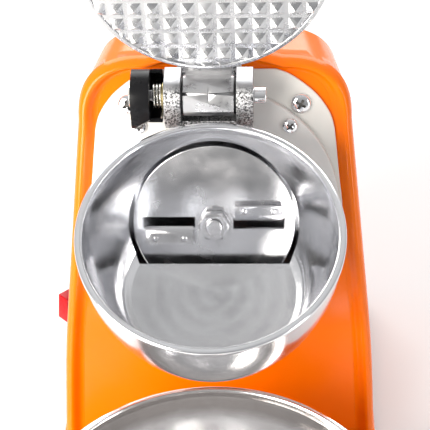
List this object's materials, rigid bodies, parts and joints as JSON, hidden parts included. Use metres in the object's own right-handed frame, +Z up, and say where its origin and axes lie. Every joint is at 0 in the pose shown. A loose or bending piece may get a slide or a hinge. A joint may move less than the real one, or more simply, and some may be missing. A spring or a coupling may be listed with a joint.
{
  "type": "shaved ice machine",
  "caption": "Countertop electric shaved ice machine: leaning orange arch housing, cast tilted hopper, hinged pressing lid with handle, blade disc, switch and receiving bowl.",
  "frame": {"origin": "centre of the footprint box, at the surface that the feet stand on", "axes": "+Z up, -Y to the front where the bowl stands, +X to the right seen from the front, so the power switch is on the -X side"},
  "size_m": [0.2259, 0.425, 0.5484],
  "materials": {
    "orange_abs": "glossy moulded ABS",
    "face_plate": "warm light grey satin powder coat",
    "chute_plastic": "satin moulded plastic",
    "hopper_flange": "satin warm grey powder coat",
    "cast_aluminium": "polished casting",
    "lid_casting": "fettled casting with pressed pyramids on the inner face",
    "sand_cast_aluminium": "sand-cast, tumbled",
    "chrome": "bright chrome",
    "spring_steel": "drawn wire, zinc plated",
    "polished_stainless": "spun stainless, polished with fine turning marks",
    "turned_steel": "machined steel",
    "motor_iron": "laminated iron",
    "copper_winding": "enamelled copper wire, packed and tied",
    "natural_plastic": "natural nylon",
    "black_plastic": "moulded, lightly textured",
    "red_plastic": "glossy moulded",
    "black_rubber": "matt"
  },
  "bodies": {
    "machine_body": {"base_platform": "orange_abs", "bearing_front": "turned_steel", "bearing_rear": "turned_steel", "cord_gland": "black_plastic", "end_bell_front": "cast_aluminium", "end_bell_rear": "cast_aluminium", "face_plate": "face_plate", "flange_screw_lower_left": "chrome", "flange_screw_lower_right": "chrome", "flange_screw_upper_left": "chrome", "flange_screw_upper_right": "chrome", "foot_front_left": "black_rubber", "foot_front_right": "black_rubber", "foot_rear_left": "black_rubber", "foot_rear_right": "black_rubber", "front_panel": "orange_abs", "hinge_bracket": "sand_cast_aluminium", "hopper": "cast_aluminium", "hopper_flange": "hopper_flange", "housing_shell": "orange_abs", "microswitch": "black_plastic", "motor_bracket": "turned_steel", "outlet_chute": "chute_plastic", "plate_screw_lower_left": "chrome", "plate_screw_lower_right": "chrome", "plate_screw_upper_left": "chrome", "plate_screw_upper_right": "chrome", "rocker_bezel": "black_plastic", "stator_core": "motor_iron", "switch_body": "black_plastic", "terminal_block": "natural_plastic", "torsion_spring": "spring_steel", "winding_front": "copper_winding", "winding_rear": "copper_winding"},
    "lid": {"lid_plate": "lid_casting", "lid_arm": "lid_casting", "handle_rod": "turned_steel", "handle_grip": "black_plastic", "hinge_pin": "chrome", "pin_clip": "spring_steel", "safety_cam": "black_plastic"},
    "rotor": {"blade_disc": "turned_steel", "blade_1": "turned_steel", "blade_2": "turned_steel", "disc_nut": "turned_steel", "drive_shaft": "turned_steel", "rotor_core": "motor_iron", "cooling_fan": "natural_plastic"},
    "power_rocker": {"rocker": "red_plastic"},
    "interlock_plunger": {"switch_plunger": "red_plastic"},
    "bowl": {"receiving_bowl": "polished_stainless"}
  },
  "joints": [
    {"name": "lid_hinge", "type": "hinge", "parent": "machine_body", "child": "lid", "pos_m": [-0.0025, 0.09777, 0.2599], "axis": [1, 0, 0], "range_deg": [0, 106.5], "stiffness_Nm_per_rad": 0.5, "springref_deg": -17.19},
    {"name": "rotor_spin", "type": "hinge", "parent": "machine_body", "child": "rotor", "pos_m": [0, 0.09296, 0.17669], "axis": [0, -0.9455, 0.3256], "continuous": true},
    {"name": "rocker_tilt", "type": "hinge", "parent": "machine_body", "child": "power_rocker", "pos_m": [-0.10185, 0.10347, 0.081], "axis": [0.1141, -0.0032, 0.9935], "range_deg": [0, 25]},
    {"name": "plunger_slide", "type": "slide", "parent": "machine_body", "child": "interlock_plunger", "axis": [0, 0.9455, -0.3256], "range_m": [0, 0.0022]},
    {"name": "bowl_slide", "type": "slide", "parent": "machine_body", "child": "bowl", "axis": [0, -1, 0], "range_m": [0, 0.25]}
  ],
  "couplings": [
    {"joint": "plunger_slide", "follows": "lid_hinge", "m_per_rad": 0.001182}
  ]
}
